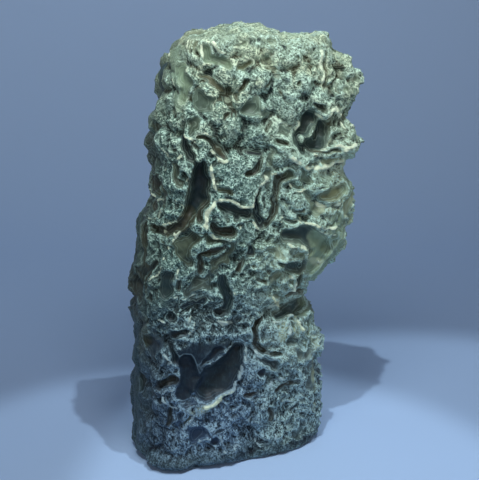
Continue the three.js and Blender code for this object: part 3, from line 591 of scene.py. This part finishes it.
# the plain column's point for a place on the grid; level is 0 at the crown's middle and 1 at the foot's
def wrap(share, level):
    turn = turnOf(share)
    edgeHeight = curve(crown, skinAt(turn, column.browHeight)[:, 0]) - column.shoulder
    down = (level - column.crownShare) / (1 - column.crownShare - column.footShare)
    point = skinAt(turn, mix(edgeHeight, column.footRadius, clamp(down)))

    out = clamp(level / column.crownShare) ** column.crownSpread
    top = mix(np.array(column.crownMiddle), skinAt(turn, edgeHeight), out[:, None])
    behind = np.maximum(top[:, 1] - column.backFallFrom, 0)
    fall = curve(crown, top[:, 0]) - column.backFall * behind ** 2
    top[:, 2] = mix(edgeHeight, np.maximum(fall, edgeHeight), (1 - out**4) ** 0.5)

    out = clamp((1 - level) / column.footShare) ** column.footSpread
    foot = mix(np.array(column.footMiddle), skinAt(turn, column.footRadius), out[:, None])
    curl = clamp((out - column.footFlat) / (1 - column.footFlat))
    foot[:, 2] = column.footRadius * (1 - np.sqrt(1 - curl**2))

    point = np.where((level < column.crownShare)[:, None], top, point)
    return np.where((level > 1 - column.footShare)[:, None], foot, point)


# 1 on the stone's left flank, 0 on the face
def leftward(points):
    left, right = curve(leftEdge, points[:, 2]), curve(rightEdge, points[:, 2])
    across = (points[:, 0] - left) / (right - left) / curve(column.flankShare, points[:, 2])
    return ease(*column.flankFade, across)


# the points moved a little, so that what is measured from them has wandering edges
def strayedFrom(points):
    bent = points.copy()
    for n, (size, distance) in enumerate(relief.wander):
        for axis in range(3):
            bent[:, axis] += distance * grain(points, size, 3 * n + axis)
    return bent


# how far the skin stands out before anything is cut into it
def roughSkin(points, bent, flank):
    x, y, height = points.T
    lumps = 1 - (nearestSpot(points, relief.lumpSize) / relief.lumpReach) ** 2
    lumps = clamp(lumps, relief.lumpFloor, 1)
    size, turns = relief.swellSize, relief.swellTurns
    wave = np.sin(x / size * turns[0] + relief.swellStart)
    wave = wave * np.sin(height / size * turns[1] + y * relief.swellSlant)
    rough = relief.lumpHeight * curve(relief.lumpShare, height) * (lumps - relief.lumpSink)
    rough += relief.swell * wave
    rough = rough * mix(relief.crownRough, 1, ease(*relief.crownFade, height))
    for k, (size, rise) in enumerate(relief.crags):
        ridges = np.abs(grain(bent, size, relief.cragSalt + 3 * k)) * relief.cragWidth
        sharp = clamp(1 - ridges) ** relief.cragPower - relief.cragMean
        sharp = sharp * mix(1, relief.cragFlank, flank) * curve(relief.cragShare, height)
        rough = rough + rise * sharp
    for rise, path in swells:
        at, share, _ = along(path, points, points)
        rough[at] += rise * ease(1, 0, share)
    return rough


# lays a tone over the others at some of the points
def paint(toneMask, at, tone, cover, strength=1):
    toneMask[at] *= (1 - cover)[:, None]
    toneMask[at, tone] += cover * strength


def strayOf(path):
    first, widest = path[0][0], path[1].max()
    if first[1] > strays.backFrom:
        return strays.back
    if widest > strays.wideFrom:
        return strays.wide
    crowned = first[2] > strays.crownFrom and widest < strays.narrowTo
    return strays.crown if crowned else strays.other


# the etched skin at points of the plain column: how far it stands out, and masks for the glass.
# "edge" is the distance in mm to the nearest rim, below 0 in a hollow.
def etch(points):
    count = len(points)
    height = points[:, 2]
    bent = strayedFrom(points)
    flank = leftward(points)
    rough = roughSkin(points, bent, flank)

    wide = sum(share * grain(bent, relief.channelSize / finer, salt)
               for share, finer, salt in relief.channelGrains)
    edge = (wide - curve(relief.channelLevel, height)) * relief.channelSlope
    for path in plateaus:
        at, share, _ = along(path, points, bent)
        edge[at] = np.maximum(edge[at], relief.plateauLift * (1 - share))
        flat = relief.plateauFlat * ease(*relief.plateauEdge, share)
        rough[at] = mix(rough[at], relief.plateauRise, flat)
    cut = relief.channelDepth * clamp(-edge / relief.channelFull)

    toneMask = np.zeros((count, len(tones)))
    low, high = toneLook.flankTurn
    toneMask[:, brown] = toneLook.flankBrown * flank * ease(low, high, height)
    toneMask[:, teal] = toneLook.flankTeal * flank * ease(high, low, height)
    depth, spots = saddle
    everyHollow = [(tone, depth, placed(path)) for tone, depth, path in hollows] + hiddenPaths()
    # the saddle behind the crown's right corner takes the light sage tone, painted light that lifts the shade
    # in it
    everyHollow.append((sage, depth, (np.array(spots)[:, :3], np.array(spots)[:, 3])))
    named = np.full(count, farAway)
    for tone, depth, path in everyHollow:
        at = near(path, points, relief.hollowMargin)
        share, radius = reach(path, mix(points[at], bent[at], strayOf(path)))
        away = (share - 1) * radius
        inside = ease(*relief.hollowEdge, away)
        bowl = 1 - clamp(share) ** 2
        cut[at] = mix(cut[at], np.maximum(cut[at], relief.depthShare * depth * bowl), inside)
        named[at] = np.minimum(named[at], away)
        paint(toneMask, at, tone, inside, mix(toneLook.edgeTone, 1, bowl))
    calm = toneLook.flankCalm * flank
    soft = np.zeros(count)
    for tone, strength, path in washes:
        at, share, _ = along(path, points, bent)
        over = strength * ease(*toneLook.washEdge, share)
        paint(toneMask, at, tone, over)
        calm[at] = np.maximum(calm[at], over * calmShares.get(tone, 1))
        if tone in toneLook.soft:
            soft[at] = np.maximum(soft[at], over)
    # channels run into a hollow but keep clear of its outer rim
    edge = np.minimum(named, np.where(named < farAway, np.maximum(edge, relief.clear - named), edge))

    for rise, path in islands:
        at, share, radius = along(path, points, bent)
        away = (1 - share) * radius
        inside = ease(*relief.islandEdge, away)
        edge[at] = np.maximum(edge[at], away)
        cut[at] = mix(cut[at], -rise - relief.islandCrown * (1 - clamp(share) ** 2), inside)
        toneMask[at] *= (1 - inside)[:, None]

    wall = ease(relief.wallStart, -relief.wall, edge)
    rim = np.exp(-((edge - relief.rimPlace) / relief.rimWidth) ** 2)
    rim = rim * ease(*relief.rimGaps, grain(points, relief.rimSize, relief.rimSalt))
    out = rough * mix(1, relief.wallRough, np.maximum(wall, soft))
    out = out + relief.rimHeight * rim - cut - relief.wallDrop * wall

    crest = np.zeros(count)
    for rise, path in crests:
        path = [(x, up, halfWidth / perMm) for x, up, halfWidth in path]
        at, share, _ = along(path, points, bent)
        ridge = np.exp(-(share * relief.crestNarrow) ** 2)
        out[at] += rise / perMm * ridge
        crest[at] = np.maximum(crest[at], ridge)
        lifted = mix(edge[at], relief.crestEdge, ease(*relief.crestEdgeFrom, ridge))
        edge[at] = np.maximum(edge[at], lifted)
        toneMask[at, :-1] *= (1 - ridge)[:, None]
    return out, {"edge": edge, "crest": crest, "tones": toneMask, "calm": calm}


# how far each vertex stands above the mean of its surroundings, on the grid of rows and columns, from 0 to 1
def standing(values, order, passes, full):
    grid = values[order]
    wide = grid.copy()
    for _ in range(passes):
        wide = (np.roll(wide, 1, 1) + np.roll(wide, -1, 1) + 2 * wide) / 4
        padded = np.concatenate([wide[:1], wide, wide[-1:]])
        wide = (padded[:-2] + padded[2:] + 2 * wide) / 4
    result = np.zeros(len(values))
    result[order] = grid - wide
    return clamp(0.5 + 0.5 * (result / full))


def vertexValues(mesh, name):
    values = np.empty(len(mesh.vertices) * 3)
    mesh.vertices.foreach_get(name, values)
    return values.reshape(-1, 3)


def setColours(mesh, name, channels):
    values = np.ones((len(mesh.vertices), 4), np.float32)
    for k, channel in enumerate(channels):
        values[:, k] = channel
    mesh.attributes.new(name, "FLOAT_COLOR", "POINT").data.foreach_set("color", values.ravel())


def addObject(name, data):
    made = bpy.data.objects.new(name, data)
    bpy.context.collection.objects.link(made)
    return made


def meshOf(name, build):
    mesh = bpy.data.meshes.new(name)
    build.to_mesh(mesh)
    build.free()
    return mesh


def buildStone():
    columns, rows = column.aroundCount, column.upCount
    ball = bmesh.new()
    bmesh.ops.create_uvsphere(ball, u_segments=columns, v_segments=rows, radius=1)
    mesh = meshOf("moldavite", ball)
    start = vertexValues(mesh, "co")
    place = np.round(np.arctan2(start[:, 1], start[:, 0]) / math.tau * columns) % columns
    level = np.round(np.arccos(clamp(start[:, 2], -1, 1)) / math.pi * rows) / rows
    plain = wrap(place / columns, level)
    mesh.vertices.foreach_set("co", plain.ravel())
    mesh.update()
    out, masks = etch(plain)
    hold = clamp(plain[:, 2] / column.footRadius)
    spots = plain + vertexValues(mesh, "normal") * (out * hold)[:, None]
    spots[:, 2] = np.maximum(spots[:, 2], 0)
    low, high = spots.min(0), spots.max(0)
    print("stone box in mm", np.round(low, 2), np.round(high, 2))
    spots -= [(low[0] + high[0]) / 2, (low[1] + high[1]) / 2, low[2]]
    mesh.vertices.foreach_set("co", (spots * mm).ravel())
    mesh.update()
    mesh.shade_smooth()
    print(len(mesh.vertices), "vertices", sum(len(p.vertices) - 2 for p in mesh.polygons), "triangles")

    order = np.zeros((rows - 1, columns), int)
    inner = (level > 0) & (level < 1)
    order[np.round(level[inner] * rows).astype(int) - 1, place[inner].astype(int)] = np.flatnonzero(inner)
    tone = masks["tones"].T
    fine, wide = standing(out, order, *relief.fineStand), standing(out, order, *relief.wideStand)
    setColours(mesh, "warm", [tone[brown], tone[olive], tone[sage]])
    setColours(mesh, "cold", [tone[teal], tone[night], tone[navy]])
    setColours(mesh, "form", [fine, wide, masks["crest"]])
    setColours(mesh, "calm", [masks["calm"], tone[cream], 0])
    setColours(mesh, "place", [plain[:, 2], plain[:, 0], masks["edge"]])
    return addObject("moldavite", mesh)


stone = buildStone()
print("stone built")


def colour(red, green, blue):
    def linear(value):
        value /= 255
        return value / 12.92 if value <= 0.04045 else ((value + 0.055) / 1.055) ** 2.4
    return (linear(red), linear(green), linear(blue), 1.0)


glass = Values(
    ground=colour(66, 99, 94),  # between the frosted grains
    high=colour(114, 142, 126),  # the same near the crown, lighter: partly the glass's own tone, partly painted light from above
    low=colour(50, 73, 104),  # and near the foot, darker and bluer: partly the glass's own tone, partly painted shade
    pale=colour(150, 172, 150),  # and on the right, as painted light
    channel=colour(72, 84, 68),
    # frost, and the painted glints on its grains
    frost=colour(194, 228, 212),
    # painted highlight on the crests
    rim=colour(228, 242, 212),
    brown=colour(58, 57, 44),
    brownHigh=colour(94, 96, 72),
    olive=colour(100, 106, 76),
    sage=colour(124, 146, 120),
    cream=colour(190, 204, 168),
    teal=colour(48, 68, 68),
    night=colour(22, 35, 39),
    navy=colour(18, 32, 44),
    streak=colour(60, 84, 92),
    # painted shade: in the low places of the skin, in the pits between the grains and on the left flank;
    # darker and bluer near the foot, warmer near the crown
    dent=colour(16, 33, 33),
    dentLow=colour(10, 22, 34),
    dentHigh=colour(56, 60, 42),
    frostLow=colour(146, 178, 202),
    frostHigh=colour(214, 228, 194),
    frostRoughness=0.6,
    smoothRoughness=0.48,
)
# (scale per metre, detail, roughness) of the glass's noises
glassNoises = {
    "drift": (900, 2, 0.5), "curls": (1300, 2, 0.5), "grit": (3600, 3, 0.6), "patch": (330, 2, 0.5),
    "clumps": (620, 3, 0.6), "fibres": (3200, 2, 0.6),
}
# Where a colour or mark comes in, in mm: nothing at the first value, all of it at the second.
zones = Values(
    # up the stone
    foot=(4, 1.2), low=(34, 10), high=(40, 57), crownTint=(54, 61),
    shadedUp=(37, 29), paleUp=(22, 30), litUnder=(37, 31), litAbove=(12, 17),
    # across it: painted light on the right, painted shade on the left flank
    lit=(-3, 7), shaded=(-7.5, -12.5), paleEdge=(8, 14),
    # from the rims of the hollows, which lie at 0 with the hollows below
    smooth=(0.05, -0.12), wallLines=(-0.9, -0.2), rimLine=(0.13, 0.0),
)
rimMiddle = 0.08  # mm from the rim to the middle of its painted highlight
linePitch = 0.3  # mm between the lines on a hollow's walls
driftReach = 0.0006  # metres by which the wide noise draws the others off course
fibreStretch = (1.0, 1.0, 0.3)
lineSway = 9  # radians by which they wander


def addNode(tree, kind, inputs=(), **settings):
    node = tree.nodes.new(kind)
    for key, value in settings.items():
        setattr(node, key, value)
    for name, value in dict(inputs).items():
        if isinstance(value, bpy.types.NodeSocket):
            tree.links.new(value, node.inputs[name])
        else:
            node.inputs[name].default_value = value
    return node


# smooth step of a value: first at low and below, last at high and above
def ramp(tree, value, low, high, first=0.0, last=1.0):
    return addNode(tree, "ShaderNodeMapRange", {
        "Value": value, "From Min": low, "From Max": high, "To Min": first, "To Max": last,
    }, interpolation_type="SMOOTHSTEP").outputs["Result"]


def glassMaterial():
    material = bpy.data.materials.new("etchedGlass")
    material.use_nodes = True
    tree = material.node_tree
    tree.nodes.clear()

    def maths(operation, a, b=0.0, clamped=False):
        inputs = {0: a, 1: b}
        return addNode(tree, "ShaderNodeMath", inputs, operation=operation, use_clamp=clamped).outputs[0]

    def times(a, b, clamped=False):
        return maths("MULTIPLY", a, b, clamped)

    def plus(a, b, clamped=False):
        return maths("ADD", a, b, clamped)

    def most(a, b):
        return maths("MAXIMUM", a, b)

    def awayFrom(value, middle):
        return maths("ABSOLUTE", maths("SUBTRACT", value, middle))

    def fade(value, bounds, first=0.0, last=1.0):
        return ramp(tree, value, *bounds, first, last)

    # first where a mask is 0, last where it is 1
    def under(mask, first, last):
        return ramp(tree, mask, 0, 1, first, last)

    def blend(share, a, b):
        inputs = {0: share, 6: a, 7: b}
        return addNode(tree, "ShaderNodeMix", inputs, data_type="RGBA", clamp_factor=True).outputs[2]

    def vectors(operation, a, b):
        return addNode(tree, "ShaderNodeVectorMath", {0: a, 1: b}, operation=operation).outputs[0]

    def noiseOf(name, vector, output=0, distortion=0.0):
        scale, detail, roughness = glassNoises[name]
        return addNode(tree, "ShaderNodeTexNoise", {
            "Vector": vector, "Scale": scale, "Detail": detail, "Roughness": roughness,
            "Distortion": distortion,
        }).outputs[output]

    def masksOf(name):
        source = addNode(tree, "ShaderNodeAttribute", attribute_name=name).outputs["Color"]
        return addNode(tree, "ShaderNodeSeparateColor", {"Color": source}).outputs

    place = addNode(tree, "ShaderNodeTexCoord").outputs["Object"]
    warm, cold, quiet = masksOf("warm"), masksOf("cold"), masksOf("calm")
    fineForm, wideForm, crest = masksOf("form")
    up, across, edge = masksOf("place")
    smooth = fade(edge, zones.smooth)
    calm = most(smooth, quiet[0])
    rough = under(calm, 1.0, 0.0)

    # parts of the stone, with painted light on the right side and its backlit edge, and painted shade on the
    # left flank
    high, low, foot = fade(up, zones.high), fade(up, zones.low), fade(up, zones.foot)
    lit = fade(across, zones.lit)
    shaded = times(fade(across, zones.shaded), fade(up, zones.shadedUp, 0.0, 0.8))
    paleEdge = times(fade(across, zones.paleEdge), fade(up, zones.paleUp, 0.0, 0.5))
    lowLit = times(lit, times(fade(up, zones.litUnder), fade(up, zones.litAbove)))

    # noises, with their place drawn off course by a wide one
    drift = vectors("MULTIPLY", noiseOf("drift", place, "Color"), (driftReach,) * 3)
    warped = vectors("ADD", place, drift)
    curls, grit, clumps = (noiseOf(name, warped) for name in ("curls", "grit", "clumps"))
    patch = noiseOf("patch", place)
    fibres = noiseOf("fibres", vectors("MULTIPLY", warped, fibreStretch), distortion=0.6)
    curl = fade(awayFrom(curls, 0.5), (0.04, 0.0))

    # pale marks: lines that run along the walls of the hollows, a painted highlight along their rims, and
    # frosted grains with painted glints, brighter on the peaks of the relief and on the lit right side,
    # fainter on the shaded left and at the foot
    lines = maths("SINE", plus(times(edge, math.tau / linePitch), times(curls, lineSway)))
    lines = times(fade(lines, (0.3, 1.0)), fade(edge, zones.wallLines))
    lines = times(lines, fade(cold[2], (0, 0.5), 1.0, 0.0))
    rimLine = times(fade(awayFrom(edge, rimMiddle), zones.rimLine), fade(patch, (0.4, 0.65), 0.1, 0.9))
    grains = plus(fade(grit, (0.5, 0.58)), times(curl, 0.45))
    grains = times(grains, plus(times(fade(fineForm, (0.4, 0.85)), 1.2), 0.45))
    grains = times(grains, fade(wideForm, (0.15, 0.7), 0.3, 1.0))
    grains = times(grains, fade(clumps, (0.4, 0.58), 0.45, 1.3))
    frost = plus(times(grains, rough), times(rimLine, 0.5))
    frost = plus(frost, times(lines, 0.18), clamped=True)
    frost = plus(frost, times(times(low, rough), fade(fibres, (0.5, 0.66), 0.0, 0.5)), clamped=True)
    frost = times(frost, maths("SUBTRACT", 1.0, times(most(foot, shaded), 0.65)))
    frost = times(frost, under(lit, 1.0, 1.45), clamped=True)

    # dark marks: dark pits between the grains, and painted shade in the low places of the skin; both fewer on
    # the lit lower right, as painted light
    pits = times(times(fade(grit, (0.46, 0.38), 0.0, 0.7), rough), under(lowLit, 1.0, 0.75))
    lowShade = plus(fade(fineForm, (0.52, 0.15), 0.0, 0.75), fade(wideForm, (0.5, 0.1), 0.0, 0.6), clamped=True)
    lowShade = times(times(lowShade, under(smooth, 1.0, 0.35)), under(lowLit, 1.0, 0.55))

    # the skin's colour, with painted light on the right and on the backlit edge, lighter towards the crown
    # and darker towards the foot, partly as painted light; then the tones of the hollows
    skin = blend(smooth, glass.ground, glass.channel)
    skin = blend(times(lit, 0.5), skin, glass.pale)
    # painted light: cream on the right edge, as if lit through from behind, and on the lit lower right
    skin = blend(most(paleEdge, times(lowLit, 0.35)), skin, glass.cream)
    skin = blend(times(high, under(smooth, 0.75, 0.35)), skin, glass.high)
    skin = blend(fade(up, zones.crownTint, 0.0, 0.35), skin, glass.cream)
    skin = blend(times(low, under(lit, 0.85, 0.5)), skin, glass.low)
    skin = blend(times(low, fade(patch, (0.45, 0.6), 0.0, 0.7)), skin, glass.navy)
    skin = blend(warm[0], skin, blend(high, glass.brown, glass.brownHigh))
    tints = dict(olive=warm[1], sage=warm[2], teal=cold[0], night=cold[1], navy=cold[2], cream=quiet[1])
    for name, mask in tints.items():
        skin = blend(mask, skin, getattr(glass, name))
    skin = blend(times(foot, 0.7), skin, glass.teal)
    # painted shade over the left flank
    skin = blend(times(shaded, 0.35), skin, glass.dent)
    skin = blend(times(most(cold[1], cold[2]), fade(fibres, (0.45, 0.75), 0.0, 0.3)), skin, glass.streak)

    # the painted shade and the dark pits, the frost with its painted glints, and the painted highlights of
    # the crests on top
    shadeColour = blend(low, glass.dent, glass.dentLow)
    shadeColour = blend(times(high, fade(patch, (0.42, 0.55))), shadeColour, glass.dentHigh)
    skin = blend(most(lowShade, pits), skin, shadeColour)
    frostGlintColour = blend(times(low, under(lit, 0.9, 0.5)), glass.frost, glass.frostLow)
    frostGlintColour = blend(times(high, fade(patch, (0.4, 0.6), 0.2, 0.9)), frostGlintColour, glass.frostHigh)
    skin = blend(frost, skin, frostGlintColour)
    faint = times(low, fade(quiet[1], (0.1, 0.5), 1.0, 0.0))
    rims = times(fade(crest, (0.22, 0.55)), fade(patch, (0.3, 0.5), 0.65, 1.0))
    rims = times(rims, under(faint, 1.0, 0.7))
    skin = blend(rims, skin, blend(times(faint, 0.75), glass.rim, glass.frostLow))

    height = times(plus(grit, times(curl, 0.3)), under(calm, 1.0, 0.12))
    height = plus(height, times(lines, 0.25))
    bump = addNode(tree, "ShaderNodeBump", {"Height": height, "Strength": 0.8, "Distance": 0.00025})
    shader = addNode(tree, "ShaderNodeBsdfPrincipled", {
        "Base Color": skin, "Roughness": under(calm, glass.frostRoughness, glass.smoothRoughness),
        "IOR": 1.5, "Specular IOR Level": 0.28, "Normal": bump.outputs[0],
    })
    addNode(tree, "ShaderNodeOutputMaterial", {"Surface": shader.outputs[0]})
    return material


stone.data.materials.append(glassMaterial())
print("glass made")

studio = Values(
    floorFront=-400.0, floorBack=80.0, curve=110.0, curveSteps=24, wallTop=400.0,
    halfWidth=400.0, colour=(0.44, 0.6, 0.86, 1.0), roughness=0.9,
)


def buildSweep():
    radius, back, side = studio.curve, studio.floorBack, studio.halfWidth
    profile = [(studio.floorFront, 0.0), (back, 0.0)]
    for step in range(1, studio.curveSteps + 1):
        angle = step / studio.curveSteps * math.pi / 2
        profile.append((back + radius * math.sin(angle), radius * (1 - math.cos(angle))))
    profile.append((back + radius, studio.wallTop))
    sweep = bmesh.new()
    rows = [[sweep.verts.new((x * mm, y * mm, z * mm)) for x in (-side, side)] for y, z in profile]
    for a, b in zip(rows, rows[1:]):
        sweep.faces.new((a[0], a[1], b[1], b[0]))
    mesh = meshOf("sweep", sweep)
    mesh.shade_smooth()
    paper = bpy.data.materials.new("paper")
    paper.use_nodes = True
    shader = paper.node_tree.nodes["Principled BSDF"]
    shader.inputs["Base Color"].default_value = studio.colour
    shader.inputs["Roughness"].default_value = studio.roughness
    mesh.materials.append(paper)
    return addObject("sweep", mesh)


floor = buildSweep()

# Two lamps overhead throw pools of light on the floor, and a third lifts the wall.
# (name, the point it is aimed at, where it stands, half-angle in degrees, softness of the pool's edge, power)
lamps = [
    ("lampLeft", (24, -14, 0), (-43, -174, 420), 6.2, 0.2, 2.3),
    ("lampRight", (-3, -24, 0), (95, -86, 420), 6.5, 0.2, 1.9),
    ("lampBack", (-35, 140, 15), (-60, 10, 300), 30, 1.0, 0.42),
]
lampColour = (0.88, 1.0, 1.07)
lampRadius = 4


# stands a light at a place, turned to a point
def aimLight(light, place, aim):
    stand = addObject(light.name, light)
    stand.location = Vector(place) * mm
    stand.rotation_euler = (Vector(aim) - Vector(place)).to_track_quat("-Z", "Y").to_euler()
    return stand


for name, aim, place, halfAngle, blend, power in lamps:
    lamp = bpy.data.lights.new(name, "SPOT")
    lamp.energy = power
    lamp.color = lampColour
    lamp.spot_size = math.radians(2 * halfAngle)
    lamp.spot_blend = blend
    lamp.shadow_soft_size = lampRadius * mm
    aimLight(lamp, place, aim)

# A soft disc close above brightens the stone's upper half.
softbox = Values(aim=(2, 0, 50), place=(2, -30, 92), size=20, power=0.0145)
disc = bpy.data.lights.new("softbox", "AREA")
disc.shape = "DISK"
disc.size = softbox.size * mm
disc.energy = softbox.power
aimLight(disc, softbox.place, softbox.aim).visible_camera = False

# The surroundings are bright at the level and dim overhead.
surround = Values(level=0.86, overhead=0.07, dimFrom=0.0, dimTo=0.7)
world = bpy.data.worlds.new("world")
bpy.context.scene.world = world
world.use_nodes = True
sky = world.node_tree
direction = addNode(sky, "ShaderNodeTexCoord").outputs["Generated"]
rise = addNode(sky, "ShaderNodeSeparateXYZ", {0: direction}).outputs["Z"]
strength = ramp(sky, rise, surround.dimFrom, surround.dimTo, surround.level, surround.overhead)
sky.nodes["Background"].inputs["Color"].default_value = (1, 1, 1, 1)
sky.links.new(strength, sky.nodes["Background"].inputs["Strength"])

down = math.radians(picture.lookDown)
back = Vector((0, -math.cos(down), math.sin(down))) * picture.distance
camera = bpy.data.cameras.new("camera")
camera.lens = picture.lens
camera.shift_x, camera.shift_y = picture.shiftX, picture.shiftY
camera.clip_start, camera.clip_end = picture.clip
camera.dof.use_dof = False
cameraObject = addObject("camera", camera)
cameraObject.location = (Vector(picture.aim) + back) * mm
cameraObject.rotation_euler = (math.pi / 2 - down, 0, 0)
bpy.context.scene.camera = cameraObject
bpy.context.scene.view_settings.view_transform = "Standard"
print("studio set")

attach(stone, "root")
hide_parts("stone")
